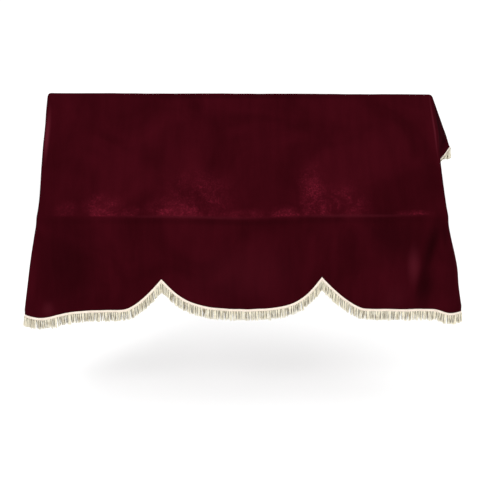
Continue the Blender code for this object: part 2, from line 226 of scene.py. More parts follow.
# Heights of the small waves: slow ones, fine ones, and those near the front hem and side hems
WAVES = (0.0007, 0.00022, 0.0009, 0.0011)
FRONT_WAVE_REACH = 0.16
SIDE_WAVE_REACH = 0.10

# Fringe
TAPE_WIDTH = 0.012
TAPE_THICKNESS = 0.0011
TAPE_BEVEL = 0.0004
TAPE_LIFT = 0.0002          # cloth to the back of the tape
TAPE_STEP = 0.003
MOST_TURN = 0.8             # sine of the sharpest half turn that the tape mitres fully
FRONT_TAPE_PLUMB = 0.0      # 1 hangs plumb where the hem runs level, 0 goes on as the cloth does
SIDE_TAPE_PLUMB = 0.75
EDGE_CORD_RADIUS = 0.0009
BRAID_STEP = 0.0012
BRAID_WAVE = 0.0090
BRAID_REACH = 0.0030
BRAID_RADIUS = 0.00055
BRAID_RISE = 0.0002         # how far its cords rise and sink where they cross
CORD_SIDES = 5
STRAND_PITCH = 0.0023
STRAND_ROWS = 3
STRAND_RADIUS = 0.00085
STRAND_LENGTH = 0.035
STRAND_OVERLAP = 0.0030     # how far up the tape's face the strands begin
STRAND_SIDES = 5
STRAND_SEGMENTS = 6
STRAND_HANG = 0.90          # 1 hangs plumb, 0 stands square to the tape
LOCK_WIDTH = 0.0085         # strands cling together in locks about this wide
LOCK_SHIFT = 0.35           # how far a lock's edge may shift, as a share of its width
LOCK_GATHER = 0.22          # how far the ends of a lock's strands draw together, 1 is to one point
LOCK_CURVE = 0.8            # power of the share of its length at which a strand does so
ROW_RISE = 0.0007           # each row of strands lies this much further out
TUBE_TIP = 0.6              # how far the end of a tube stands out, in radii

# Spread of the strands, first that of the locks and then that of the strands in a lock
LENGTH_SPREAD = (0.0018, 0.0009)
SWAY_SPREAD = (0.030, 0.055)
LEAN_SPREAD = (0.06, 0.04)
WANDER = 0.00021            # how far a strand strays at each of its rings
THICK_LEAST = 0.92          # least thickness, as a share of the radius
THICK_SPREAD = 0.12
STRAND_SHAPE = [(0, 0.8), (0.12, 1.0), (0.85, 1.02), (1.0, 0.62)]       # share gone and of radius

# The strands under the ear all end at one level
EAR_FRINGE_LEVEL = -0.261
EAR_STRAND_LENGTHS = (0.004, 0.048)             # the least and most that this gives
EAR_FRINGE_START = -0.012   # along the side hem, from the ear's tip
EAR_FRINGE_END = 0.150
EAR_FRINGE_FADES = (0.010, 0.040)

# Painted shade in the gap between locks: the first strands of each lock are drawn dark
GAP_SHADE_STRANDS = (1, 2, 3)
GAP_SHADE_FLAG = 4000.0           # added to the first UV value of these strands
GAP_SHADE = 0.28            # their colour, as a share of the yarn's shade

# Turned-up back hem
STITCH_PITCH = 0.0045
STITCH_LENGTH = 0.0028
STITCH_RADIUS = 0.00028
STITCH_ARCH = 1.2           # how far its middle stands out, in radii
STITCH_RINGS = 5
HEM_FOLD = 0.020            # width of the turn
HEM_FOLD_RISE = 0.0012
HEM_FOLD_SLOPE = 0.002      # way over which the rise comes in
STITCH_PLACE = HEM_FOLD - 0.002

# Colours, as linear red, green and blue
VELVET = (0.029, 0.0016, 0.0037)
VELVET_DARK = (0.020, 0.0011, 0.0025)
VELVET_LIGHT = (0.037, 0.0021, 0.0048)
# Pressed pile with a painted sheen, where it catches the light above the shelf fold
VELVET_PRESSED_SHEEN = (0.145, 0.0090, 0.0215)
# Painted highlight and painted shade, for the ovals on the velvet below
VELVET_PAINTED_HIGHLIGHT = (0.070, 0.0075, 0.0135)
VELVET_PAINTED_SHADE = (0.0070, 0.0006, 0.0012)
BACK = (0.060, 0.008, 0.012)
BACK_DARK = (0.040, 0.005, 0.008)
BACK_LIGHT = (0.075, 0.011, 0.016)
TAPE_COLOUR = (0.90, 0.80, 0.70)
TAPE_SHADE = (0.80, 0.68, 0.56)
YARN_PALE = (0.97, 0.91, 0.73)
YARN_SHADE = (0.36, 0.28, 0.15)
# Painted shade in the grooves between the plies
PLY_SHADE = 0.5             # colour between the plies, as a share of the yarn's shade
PLIES = 2
STRAND_TURNS = 420.0        # ridges of the plies in a metre
CORD_TURNS = 700.0
BACK_THREADS = 700.0        # threads of the weave in a metre
TAPE_THREADS = 900.0

# Noise on the flat cloth and on the yarn: scale, detail, roughness, distortion and any stretch
CLOUDS = (13.0, 4.0, 0.55, 0.8)
VEINS = (85.0, 5.0, 0.72, 1.8)
SLOW_TONE = (3.6, 3.0, 0.5, 0.8)
STREAKS = (30.0, 4.0, 0.6, 0.2, (1.0, 0.16, 1.0))
FINE_TONE = (900.0, 2.0, 0.5, 0.0)
PILE = (1500.0, 2.0, 0.6, 0.0)
MATTED = (150.0, 4.0, 0.6, 0.5)
WEAR = (60.0, 3.0, 0.5, 0.0)
YARN_TONE = (0.73, 2.0, 0.6, 0.0, (1.0, 20.0, 1.0))

# Pressed pile with a painted sheen, lighter where it lies just above the shelf fold and catches the
# light,
# one row for each: across, along, half width, half height, turn in degrees, strength
PRESSED_SHEEN_PATCHES = [
    (-0.530, 1.065, 0.105, 0.100, 0, 1.00),
    (-0.660, 1.060, 0.065, 0.060, 0, 0.50),
    (-0.425, 1.072, 0.080, 0.045, 0, 0.50),
    (-0.310, 1.062, 0.085, 0.085, 0, 0.85),
    (-0.220, 1.070, 0.150, 0.110, 0, 0.75),
    (-0.170, 1.000, 0.180, 0.160, 0, 0.45),
    (0.265, 1.055, 0.085, 0.090, 0, 1.00),
    (0.265, 0.980, 0.075, 0.160, 0, 0.70),
    (0.155, 1.070, 0.110, 0.045, 0, 0.80),
    (0.375, 1.030, 0.140, 0.120, 0, 0.50),
    (0.640, 1.074, 0.090, 0.022, 0, 0.70),
    (0.000, 1.072, 0.350, 0.040, 0, 0.35),
]

# The pressed patches carry a painted sheen, broken up by veins
GLOW_SHARE = 0.20           # how much of a pressed patch's tone shows between its veins

# Painted highlights and shade, in the same form: above zero a painted highlight, such as along a
# fold's ridge, and below zero painted shade, such as on the ear and beside the folds.
PAINTED_HIGHLIGHTS_AND_SHADE = [
    (0.868, 0.660, 0.108, 0.190, 0, -0.95),
    (0.800, 0.660, 0.040, 0.240, 0, -0.97),
    (0.755, 0.700, 0.006, 0.190, 0, 0.70),
    (-0.752, 0.740, 0.014, 0.150, 0, 0.85),
    (0.708, 1.190, 0.040, 0.150, -12, -0.70),
    (0.696, 1.350, 0.052, 0.150, -2, -0.66),
    (0.754, 1.150, 0.018, 0.080, 8, -0.40),
    (0.790, 1.290, 0.040, 0.220, 3, -0.30),
    (0.648, 1.270, 0.030, 0.105, 2, 0.45),
    (0.560, 1.170, 0.170, 0.150, 0, -0.35),
    (0.590, 1.400, 0.070, 0.080, 0, 0.10),
    (-0.660, 1.250, 0.160, 0.290, 0, -0.42),
    (0.000, 1.096, 1.100, 0.020, 0, -0.25),
    (0.000, 1.310, 0.340, 0.170, 0, 0.10),
    (-0.735, 1.425, 0.030, 0.045, 0, 0.30),
    (-0.200, 1.079, 0.420, 0.009, 0, 0.26),
    (0.400, 1.079, 0.360, 0.009, 0, 0.26),
    (0.000, 0.572, 0.900, 0.018, 0, -0.35),
]

# Camera, floor and light
CAMERA_PLACE = (-0.0622, -2.0934, -0.2331)
CAMERA_PITCH = -10.83
CAMERA_YAW = -1.543
FOCAL_PIXELS = 456.14
FRAME_PIXELS = 480
SENSOR = 36.0
FLOOR_HEIGHT = -1.26
FLOOR_HALF = 20.0
FLOOR_GREY = 0.90
SURROUND_STRENGTH = 1.12
LIGHT_TARGET = (0.0, -0.25, -0.45)

# Soft lights, one row for each: name, place, width and height, watts
LIGHTS = [
    ("key", (-1.6, -3.2, 1.9), (2.4, 1.6), 70),
    ("fill", (2.6, -2.4, 0.6), (1.8, 1.8), 12),
    ("top", (0.4, 0.6, 2.4), (2.5, 1.5), 30),
]

SEED = 7

DOWN = np.array([0.0, 0.0, -1.0])
FULL_TURN = 2 * math.pi


def ease(value):
    """A smooth step from 0 to 1."""
    value = np.clip(value, 0.0, 1.0)
    return value * value * (3.0 - 2.0 * value)


def smooth_curve(knots, values, along):
    """A smooth curve through values that are given at knots."""
    slopes = np.gradient(values, knots)
    along = np.clip(along, knots[0], knots[-1])
    cell = np.clip(np.searchsorted(knots, along, side="right") - 1, 0, len(knots) - 2)
    step = knots[cell + 1] - knots[cell]
    f = (along - knots[cell]) / step
    start = (1 + 2 * f) * (1 - f) ** 2 * values[cell] + f * (1 - f) ** 2 * step * slopes[cell]
    end = f * f * (3 - 2 * f) * values[cell + 1] - f * f * (1 - f) * step * slopes[cell + 1]
    return start + end


def sharp_profile(along):
    """Depth and height of the middle section, with sharp folds."""
    stations = [0.0, REAR_EDGE, FRONT_EDGE, SHELF_FOLD, HEM]
    depths = [TOP_HALF_DEPTH, TOP_HALF_DEPTH, -TOP_HALF_DEPTH]
    depths += [-TOP_HALF_DEPTH - SLOPE_RUN] * 2
    heights = [-BACK_DROP, 0.0, 0.0, -SLOPE_FALL, -SLOPE_FALL - FRONT_DROP]
    y = np.interp(along, stations, depths)
    z = np.interp(along, stations, heights)
    slope = np.clip((along - FRONT_EDGE) / (SHELF_FOLD - FRONT_EDGE), 0.0, 1.0)
    sag = SLOPE_SAG * np.sin(np.pi * slope)
    length = SHELF_FOLD - FRONT_EDGE
    return y + sag * SLOPE_FALL / length, z - sag * SLOPE_RUN / length


def profile(along):
    """The same section with its folds rounded, as the mean of the sharp one over a short way."""
    reach = np.minimum(FOLD_ROUNDING, np.minimum(along, np.maximum(HEM - along, 0.0)))
    samples = [sharp_profile(along + share * reach) for share in ROUNDING_SAMPLES]
    y = np.mean([sample[0] for sample in samples], axis=0)
    z = np.mean([sample[1] for sample in samples], axis=0)
    return y, z


def half_width(along):
    """Distance of the side fold from the middle."""
    slope = (along - FRONT_EDGE) / (SHELF_FOLD - FRONT_EDGE)
    return TOP_HALF_WIDTH + (SHELF_HALF_WIDTH - TOP_HALF_WIDTH) * np.clip(slope, 0.0, 1.0)


def strip_lines(table, along):
    """How far the side fold moves, and the lines along the middle and the hem of a strip."""
    section = dict(zip(COLUMNS, np.array(table).T / 1000))
    knots = section["along"]
    depth, height = sharp_profile(knots)
    moved = [smooth_curve(knots, section[name], along) for name in ("fold_out", "fold_back")]
    lines = []
    for line in ("mid", "hem"):
        out = half_width(knots) + section["fold_out"] + section[line + "_out"]
        back = depth + section["fold_back"] + section[line + "_back"]
        up = height - section[line + "_down"]
        lines.append([smooth_curve(knots, values, along) for values in (out, back, up)])
    return moved, lines[0], lines[1]


def ear(along, u, fold):
    """Places on the right strip where it creases from the front corner. u is 1 at its hem."""
    line = strip_lines(RIGHT_STRIP, np.array([FRONT_EDGE, EAR_TIP]))[2]
    start, tip = np.stack(line, axis=-1)
    corner = np.array([TOP_HALF_WIDTH, -TOP_HALF_DEPTH, 0.0])
    share = np.clip((along - FRONT_EDGE) / (EAR_TIP - FRONT_EDGE), 1e-6, 1 - 1e-6)[..., None]
    u = u[..., None]
    crease = corner + (tip - corner) * share
    hem = start + (tip + EAR_GAP - start) * share
    before = fold + (crease - fold) * u / share
    after = crease + (hem - crease) * (u - share) / (1 - share)
    return np.where(u < share, before, after)


def sharp_cloth(along, across):
    """Places on the inner face of the cloth, with a sharp side fold."""
    y, z = profile(along)
    right = across > 0
    out = np.abs(across)
    left_lines = strip_lines(LEFT_STRIP, along)
    right_lines = strip_lines(RIGHT_STRIP, along)
    moved, mid, hem = [
        [np.where(right, b, a) for a, b in zip(left_line, right_line)]
        for left_line, right_line in zip(left_lines, right_lines)
    ]

    lean = ease((out - FLARE_START) / (FLAT_HALF - FLARE_START))
    below = np.clip((along - SHELF_FOLD) / FRONT_DROP, 0.0, 1.0)
    recess = np.exp(-(((across - RECESS_ACROSS) / RECESS_WIDTH) ** 2)) * RECESS_DEPTH * below
    shelf_sag = SHELF_SAG * np.exp(-((across / SHELF_SAG_WIDTH) ** 2))
    shelf_sag = shelf_sag * np.exp(-(((along - SHELF_FOLD) / SHELF_SAG_LENGTH) ** 2))
    x = half_width(along) * np.minimum(out, FLAT_HALF) / FLAT_HALF + lean * moved[0]
    y = y + lean * moved[1] + recess - shelf_sag / 2
    z = z - shelf_sag / 2

    u = np.clip((out - FLAT_HALF) / STRIP, 0.0, 1.0)
    to_mid = 4 * u * (1 - u)
    to_hem = u * (2 * u - 1)
    to_fold = 1 - to_mid - to_hem
    fold = np.stack([x, y, z], axis=-1)
    places = np.stack([
        start * to_fold + middle * to_mid + end * to_hem
        for start, middle, end in zip((x, y, z), mid, hem)
    ], axis=-1)
    here = (across > FLAT_HALF) & (along > FRONT_EDGE) & (along < EAR_TIP)
    places = np.where(here[..., None], ear(along, u, fold), places)
    places[..., 0] *= np.where(right, 1, -1)
    places[..., 2] -= np.maximum(along - HEM, 0.0)
    return places


def cloth_points(along, across):
    """Places on the inner face, with the side fold rounded and opening out towards the hem."""
    below = ease((along - SHELF_FOLD) / FRONT_DROP)
    reach = FOLD_ROUNDING + (SIDE_ROUNDING_HEM - FOLD_ROUNDING) * below
    reach = np.minimum(reach, FLAT_HALF + STRIP - np.abs(across))
    samples = [sharp_cloth(along, across + share * reach) for share in ROUNDING_SAMPLES]
    return np.mean(samples, axis=0)


def scallop(across):
    """How far the front hem rises above its lowest line."""
    rise = np.zeros_like(across)
    for side, peak, height, inner, outer in SCALLOPS:
        past = side * across - peak
        inside = np.exp(-((np.maximum(-past, 0.0) / inner) ** INNER_POWER))
        left_over = 1 - np.maximum(past, 0.0) / outer
        outside = ((np.hypot(left_over, OUTER_FOOT) + left_over) / 2) ** OUTER_POWER
        here = side * across > 0
        rise = rise + np.where(here, height * np.where(past < 0, inside, outside), 0.0)
    return rise


def hem_along(across):
    """Distance along the cloth at which it ends, for each place across."""
    along = HEM - scallop(across) + HEM_TILT * np.clip(across / FLAT_HALF, -1, 1)
    for side, start, end, extra in HEM_CORNERS:
        along = along + extra * ease((side * across - start) / (end - start))
    return along


def stretches(start, table):
    """Stations from a start and a table of stretch ends and steps."""
    stations = [start]
    for end, steps in table:
        stations += list(np.linspace(stations[-1], end, steps + 1)[1:])
    return stations


def grid_places():
    """Along and across of each point of the fine cloth, above the fringe tape."""
    rows = np.array(stretches(0.0, ROW_STRETCHES))
    left_peak = SCALLOPS[0][1]
    right_peak = SCALLOPS[1][1]
    left = [-value for value in stretches(left_peak, SIDE_STRETCHES)][::-1]
    right = stretches(right_peak, SIDE_STRETCHES)
    middle = list(np.linspace(-left_peak, right_peak, MIDDLE_STEPS + 1)[1:-1])
    along, across = np.meshgrid(rows, np.array(left + middle + right), indexing="ij")
    stretch = (hem_along(across) - SHELF_FOLD) / FRONT_DROP
    along = np.where(along > SHELF_FOLD, SHELF_FOLD + (along - SHELF_FOLD) * stretch, along)
    return along, across


def unit(vectors):
    return vectors / np.maximum(np.linalg.norm(vectors, axis=-1, keepdims=True), 1e-12)


def grid_normals(points):
    """Outward directions of a grid of rows from the back hem and columns from the left."""
    down = np.gradient(points, axis=0)
    right = np.gradient(points, axis=1)
    return unit(np.cross(down, right))


def crease_relief(along, across):
    """How far soft creases lift the cloth."""
    lift = np.zeros_like(along)
    for start_along, start_across, end_along, end_across, width, height in CREASES:
        way = np.array([end_along - start_along, end_across - start_across])
        length = float(np.linalg.norm(way))
        way = way / length
        gone = (along - start_along) * way[0] + (across - start_across) * way[1]
        aside = (across - start_across) * way[0] - (along - start_along) * way[1]
        share = gone / length
        fade = ease(share / CREASE_FADE) * ease((CREASE_END - share) / CREASE_FADE)
        lift = lift + height * fade * np.exp(-((aside / width) ** 2))
    return lift


def ripple(along, across):
    """Slow small waves that a hanging cloth has everywhere, a little stronger near its hems."""
    wave = np.sin(along * 17.0 + 2.1 * np.sin(across * 5.3)) * np.sin(across * 11.0 + along * 4.0)
    fine = np.sin(across * 63.0 + 3.0 * np.sin(along * 9.0)) * np.sin(along * 31.0 + across * 7.0)
    near_front_hem = ease((along - HEM + FRONT_WAVE_REACH) / FRONT_WAVE_REACH)
    near_side_hem = ease((np.abs(across) - FLAT_HALF - STRIP + SIDE_WAVE_REACH) / SIDE_WAVE_REACH)
    front = np.sin(across * 74.0 + 1.7 * np.sin(across * 13.0)) * near_front_hem
    side = np.sin(along * 66.0 + 1.9 * np.sin(along * 11.0)) * near_side_hem
    return WAVES[0] * wave + WAVES[1] * fine + WAVES[2] * front + WAVES[3] * side


def tape_frame(edge, inner, plumb_share):
    """Directions away from the cloth at its edge, square to it and lengthened at a point."""
    steps = unit(np.diff(edge, axis=0))
    before = np.vstack([steps[:1], steps])
    after = np.vstack([steps, steps[-1:]])
    tangent = unit(before + after)
    away = edge - inner
    away = unit(away - np.sum(away * tangent, axis=1, keepdims=True) * tangent)
    plumb = plumb_share * (1 - tangent[:, 2:] ** 2)
    away = unit(away * (1 - plumb) + DOWN * plumb)
    turn = np.clip(np.sum(before * away, axis=1, keepdims=True), -MOST_TURN, MOST_TURN)
    return away / np.sqrt(1 - turn * turn)


def add_piece(name, points, faces, uvs, materials, face_materials=None):
    """A smooth mesh piece that belongs to the object. uvs holds one place for each point."""
    mesh = bpy.data.meshes.new(name)
    mesh.from_pydata(points.tolist(), [], faces)
    for material in materials:
        mesh.materials.append(material)
    if face_materials is not None:
        mesh.polygons.foreach_set("material_index", face_materials.astype(np.int32))
    layer = mesh.uv_layers.new(name="UVMap")
    corners = np.empty(len(mesh.loops), dtype=np.int32)
    mesh.loops.foreach_get("vertex_index", corners)
    layer.uv.foreach_set("vector", uvs.astype(np.float32)[corners].ravel())
    mesh.shade_smooth()
    piece = bpy.data.objects.new(name, mesh)
    COLLECTION.objects.link(piece)
    return piece


def grid_faces(rows, columns, first=0):
    """Faces of a grid of points, row by row."""
    i, j = np.meshgrid(np.arange(rows - 1), np.arange(columns - 1), indexing="ij")
    corner = (first + i * columns + j).ravel()
    return np.stack([corner, corner + columns, corner + columns + 1, corner + 1], axis=1)


def creased_faces(faces, flat_along, flat_across):
    """The same faces, those at the ear in two triangles that meet along the crease's way."""
    along = flat_along[:-1, :-1].ravel()
    across = flat_across[:-1, :-1].ravel()
    creased = (along > FRONT_EDGE - PLACE_SLACK) & (along < EAR_TIP - PLACE_SLACK)
    creased &= across > FLAT_HALF - PLACE_SLACK
    made = []
    for (a, b, c, d), split in zip(faces.tolist(), creased):
        made += [(a, b, c), (a, c, d)] if split else [(a, b, c, d)]
    return made


def fine_cloth():
    """Ways past the left, right and front hems, the cloth's inner face and its flat places."""
    along, across = grid_places()
    base = cloth_points(along, across)
    front_away = tape_frame(base[-1], base[-2], FRONT_TAPE_PLUMB)
    right_away = tape_frame(base[:, -1], base[:, -2], SIDE_TAPE_PLUMB)
    left_away = tape_frame(base[:, 0], base[:, 1], SIDE_TAPE_PLUMB)

    lift = crease_relief(along, across) + ripple(along, across)
    lifted = base + grid_normals(base) * lift[..., None]
    steps = np.linspace(0, TAPE_WIDTH * HEM_UNDER_TAPE, HEM_STEPS + 1)[1:]
    right_hem = np.stack([lifted[:, -1] + right_away * s for s in steps], axis=1)
    left_hem = np.stack([lifted[:, 0] + left_away * s for s in steps[::-1]], axis=1)
    wide = np.concatenate([left_hem, lifted, right_hem], axis=1)
    away = np.vstack([front_away[:1]] * HEM_STEPS + [front_away] + [front_away[-1:]] * HEM_STEPS)
    front_hem = np.stack([wide[-1] + away * s for s in steps], axis=0)
    inner = np.concatenate([wide, front_hem], axis=0)

    flat_across = np.hstack([across[:, :1] - steps[::-1], across, across[:, -1:] + steps])
    flat_across = np.pad(flat_across, ((0, HEM_STEPS), (0, 0)), mode="edge")
    flat_along = np.pad(along, ((0, 0), (HEM_STEPS, HEM_STEPS)), mode="edge")
    flat_along = np.vstack([flat_along] + [flat_along[-1:] + s for s in steps])
    return (left_away, right_away, front_away), inner, flat_along, flat_across


def cloth_thickness(flat_along):
    """Thickness at each place, on an axis of its own, more where the back hem is turned up."""
    turned = ease((HEM_FOLD - flat_along) / HEM_FOLD_SLOPE + 0.5)
    return (CLOTH_THICKNESS + HEM_FOLD_RISE * turned)[..., None]


def build_cloth(inner, flat_along, flat_across, outside, inside):
    """The velvet sheet, with its pile outside and its woven back inside."""
    outer = inner + grid_normals(inner) * cloth_thickness(flat_along)
    rows, columns = inner.shape[:2]
    count = rows * columns
    index = np.arange(count).reshape(rows, columns)
    rim = np.concatenate([
        index[0, ::-1], index[1:, 0], index[-1, 1:], index[-2:0:-1, -1],
    ])
    following = np.roll(rim, -1)
    rim_faces = np.stack([rim, following, following + count, rim + count], axis=1)
    outer_faces = creased_faces(grid_faces(rows, columns, first=count), flat_along, flat_across)
    inner_faces = creased_faces(grid_faces(rows, columns), flat_along, flat_across)
    inner_faces = [face[::-1] for face in inner_faces]
    faces = outer_faces + inner_faces + rim_faces.tolist()
    kinds = np.concatenate([
        np.zeros(len(outer_faces)), np.ones(len(inner_faces)), np.zeros(len(rim_faces)),
    ])
    places = np.stack([flat_across, flat_along], axis=-1).reshape(-1, 2)
    points = np.concatenate([inner.reshape(-1, 3), outer.reshape(-1, 3)])
    places = np.concatenate([places, places])
    return add_piece("velvet_cloth", points, faces, places, [outside, inside], kinds)


def resample(line, step, *others):
    """Points at an even step along a line, and other values carried along with them."""
    lengths = np.linalg.norm(np.diff(line, axis=0), axis=1)
    gone = np.concatenate([[0.0], np.cumsum(lengths)])
    count = max(2, round(gone[-1] / step) + 1)
    places = np.linspace(0.0, gone[-1], count)
    return [
        np.stack([np.interp(places, gone, column) for column in values.T], axis=1)
        for values in (line, *others)
    ]


def tubes(centres, radii, sides, across_hint):
    """Many tubes at once. centres is tubes x rings x 3 and radii is tubes x rings."""
    number, rings = centres.shape[:2]
    tangent = unit(np.gradient(centres, axis=1))
    first = unit(across_hint - np.sum(across_hint * tangent, axis=-1, keepdims=True) * tangent)
    second = np.cross(tangent, first)
    angle = np.linspace(0, FULL_TURN, sides, endpoint=False)[:, None]
    ring = first[:, :, None] * np.cos(angle) + second[:, :, None] * np.sin(angle)
    points = centres[:, :, None] + ring * radii[:, :, None, None]
    tips = np.stack([centres[:, 0], centres[:, -1]], axis=1)
    tips[:, 0] -= tangent[:, 0] * radii[:, :1] * TUBE_TIP
    tips[:, 1] += tangent[:, -1] * radii[:, -1:] * TUBE_TIP
    points = np.concatenate([points.reshape(number, -1, 3), tips], axis=1)
    size = rings * sides + 2

    k, j = np.meshgrid(np.arange(rings - 1), np.arange(sides), indexing="ij")
    beside = (j + 1) % sides
    here = k * sides
    above = here + sides
    quads = np.stack([here + j, here + beside, above + beside, above + j], axis=-1).reshape(-1, 4)
    j = np.arange(sides)
    beside = (j + 1) % sides
    start = np.stack([np.full(sides, size - 2), beside, j], axis=1)
    last = (rings - 1) * sides
    end = np.stack([np.full(sides, size - 1), last + j, last + beside], axis=1)
    offsets = np.arange(number)[:, None, None] * size
    faces = []
    for group in (quads, start, end):
        faces += [tuple(face) for face in (group + offsets).reshape(-1, group.shape[1]).tolist()]

    around = np.arange(sides) / sides
    lengthwise = np.concatenate([
        np.zeros((number, 1)),
        np.cumsum(np.linalg.norm(np.diff(centres, axis=1), axis=2), axis=1),
    ], axis=1)
    uvs = np.stack(np.broadcast_arrays(around[None, None], lengthwise[..., None]), axis=-1)
    uvs = uvs.reshape(number, -1, 2)
    tip_uvs = np.stack([np.full((number, 2), 0.5), lengthwise[:, [0, -1]]], axis=-1)
    uvs = np.concatenate([uvs, tip_uvs], axis=1)
    return points.reshape(-1, 3), faces, uvs.reshape(-1, 2)


def join(parts):
    """One list of points, faces and places from several."""
    points, part_faces, uvs = zip(*parts)
    faces = []
    count = 0
    for part, made in zip(points, part_faces):
        faces += [tuple(v + count for v in face) for face in made]
        count += len(part)
    return np.concatenate(points), faces, np.concatenate(uvs)


def tape_mesh(edge, away, normal, lift):
    """A woven band along the hem with bevelled edges; the cords along its edges and the braid
    between are laid on by braid_mesh.
    """
    edge, away, normal, lift = resample(edge, TAPE_STEP, away, normal, lift)
    normal = unit(normal)
    base = edge + normal * (lift + TAPE_LIFT)
    shoulder = TAPE_THICKNESS - TAPE_BEVEL
    section = [
        (0.0, 0.0), (0.0, shoulder), (TAPE_BEVEL, TAPE_THICKNESS),
        (TAPE_WIDTH / 3, TAPE_THICKNESS), (TAPE_WIDTH * 2 / 3, TAPE_THICKNESS),
        (TAPE_WIDTH - TAPE_BEVEL, TAPE_THICKNESS), (TAPE_WIDTH, shoulder), (TAPE_WIDTH, 0.0),
    ]
    count = len(section)
    rings = np.stack([base + away * s + normal * h for s, h in section], axis=1)
    index = np.arange(len(edge) * count).reshape(len(edge), count)
    following = np.roll(index, -1, axis=1)
    faces = np.stack([index[:-1], index[1:], following[1:], following[:-1]], axis=-1).reshape(-1, 4)
    faces = [tuple(face) for face in faces.tolist()]
    faces += [tuple(index[0].tolist()), tuple(index[-1, ::-1].tolist())]
    lengthwise = np.arange(len(edge)) * TAPE_STEP
    widths = np.array([s for s, h in section])
    uvs = np.stack(np.meshgrid(lengthwise, widths, indexing="ij"), axis=-1).reshape(-1, 2)
    return rings.reshape(-1, 3), faces, uvs


def braid_mesh(edge, away, normal, lift):
    """Cords on the face of the tape: one along each edge and two that cross between them."""
    edge, away, normal, lift = resample(edge, BRAID_STEP, away, normal, lift)
    normal = unit(normal)
    face = edge + normal * (lift + TAPE_LIFT + TAPE_THICKNESS)
    lengthwise = np.arange(len(edge)) * BRAID_STEP
    cords = [
        (face + away * place, EDGE_CORD_RADIUS)
        for place in (EDGE_CORD_RADIUS, TAPE_WIDTH - EDGE_CORD_RADIUS)
    ]
    for phase in (0.0, math.pi):
        wave = np.sin(FULL_TURN * lengthwise / BRAID_WAVE + phase)
        over = np.cos(2 * FULL_TURN * lengthwise / BRAID_WAVE + phase)
        centres = face + away * (TAPE_WIDTH / 2 + BRAID_REACH * wave[:, None])
        cords.append((centres + normal * (BRAID_RISE * over[:, None]), BRAID_RADIUS))
    return join([
        tubes(centres[None], np.full((1, len(edge)), radius), CORD_SIDES, normal[None])
        for centres, radius in cords
    ])


def ear_fringe(along, height):
    """Along the right hem: what share of each strand's length the ear sets, and to what."""
    past = along - EAR_TIP
    near = ease((past - EAR_FRINGE_START) / EAR_FRINGE_FADES[0])
    near = near * ease((EAR_FRINGE_END - past) / EAR_FRINGE_FADES[1])
    room = height - EAR_FRINGE_LEVEL - TAPE_WIDTH + STRAND_OVERLAP
    return np.stack([near, np.clip(room, *EAR_STRAND_LENGTHS)], axis=-1)


def spread(rng, amounts, lock):
    """A random value for each strand, part of it shared by its lock."""
    shared = rng.normal(0.0, amounts[0], (lock.max() + 1, 1))[lock]
    return shared + rng.normal(0.0, amounts[1], (len(lock), 1))


def strand_mesh(edge, away, normal, lift, ear_set, rng):
    """Twisted strands that hang from the tape and cling together in locks."""
    step = STRAND_PITCH / STRAND_ROWS
    edge, away, normal, lift, ear_set = resample(edge, step, away, normal, lift, ear_set)
    normal = unit(normal)
    along = unit(np.gradient(edge, axis=0))
    number = len(edge)
    row = np.arange(number) % STRAND_ROWS
    place = np.arange(number) * STRAND_PITCH / STRAND_ROWS
    shift = LOCK_SHIFT * LOCK_WIDTH * np.sin(place * 190.0 + 2.0 * np.sin(place * 47.0))
    lock = np.floor((place + shift) / LOCK_WIDTH).astype(int)
    lock -= lock.min()
    middles = np.bincount(lock, place) / np.maximum(np.bincount(lock), 1)
    to_middle = (middles[lock] - place)[:, None]
    sway = spread(rng, SWAY_SPREAD, lock)
    lean = spread(rng, LEAN_SPREAD, lock)
    length = STRAND_LENGTH + spread(rng, LENGTH_SPREAD, lock)[:, 0]
    length = length + ear_set[:, 0] * (ear_set[:, 1] - length)

    above = TAPE_LIFT + TAPE_THICKNESS + STRAND_RADIUS + ROW_RISE * row[:, None]
    root = edge + away * (TAPE_WIDTH - STRAND_OVERLAP) + normal * (lift + above)
    fall = unit(unit(away) * (1 - STRAND_HANG) + DOWN * STRAND_HANG + along * sway + normal * lean)
    share = np.linspace(0, 1, STRAND_SEGMENTS + 1)
    gone = share[None, :, None] * length[:, None, None]
    centres = root[:, None] + fall[:, None] * gone
    gather = (share ** LOCK_CURVE)[None, :, None] * LOCK_GATHER
    centres = centres + along[:, None] * to_middle[:, None] * gather
    wander = rng.normal(0.0, WANDER, (number, STRAND_SEGMENTS + 1, 3))
    wander[:, 0] = 0.0
    centres = centres + np.cumsum(wander, axis=1)
    thick = THICK_LEAST + THICK_SPREAD * rng.random((number, 1))
    shape = np.interp(share, *np.transpose(STRAND_SHAPE))
    radii = STRAND_RADIUS * thick * shape[None]
    # The small part along the hem keeps the hint from lying in line with a strand
    hint = normal[:, None] + 0.01 * along[:, None]
    points, faces, uvs = tubes(centres, radii, STRAND_SIDES, hint)
    # Painted shade in the gaps between locks: the first strands of each lock are flagged to be drawn
    # dark
    between = np.any([lock != np.roll(lock, after) for after in GAP_SHADE_STRANDS], axis=0)
    tone = 2.0 * lock + rng.integers(0, 2, number) + GAP_SHADE_FLAG * between
    uvs[:, 0] += np.repeat(tone, len(uvs) // number)
    return points, faces, uvs


def stitch_mesh(edge, away, normal, lift):
    """A row of short stitches along a hem."""
    edge, away, normal, lift = resample(edge, STITCH_PITCH, away, normal, lift)
    normal = unit(normal)
    along = unit(np.gradient(edge, axis=0))
    middle = edge + away * STITCH_PLACE + normal * lift
    share = np.linspace(-0.5, 0.5, STITCH_RINGS)
    arch = (1 - 4 * share ** 2) * STITCH_RADIUS * STITCH_ARCH
    centres = middle[:, None] + along[:, None] * (share * STITCH_LENGTH)[None, :, None]
    centres = centres + normal[:, None] * arch[None, :, None]
    radii = np.full(centres.shape[:2], STITCH_RADIUS)
    return tubes(centres, radii, CORD_SIDES, normal[:, None] + np.zeros_like(centres))


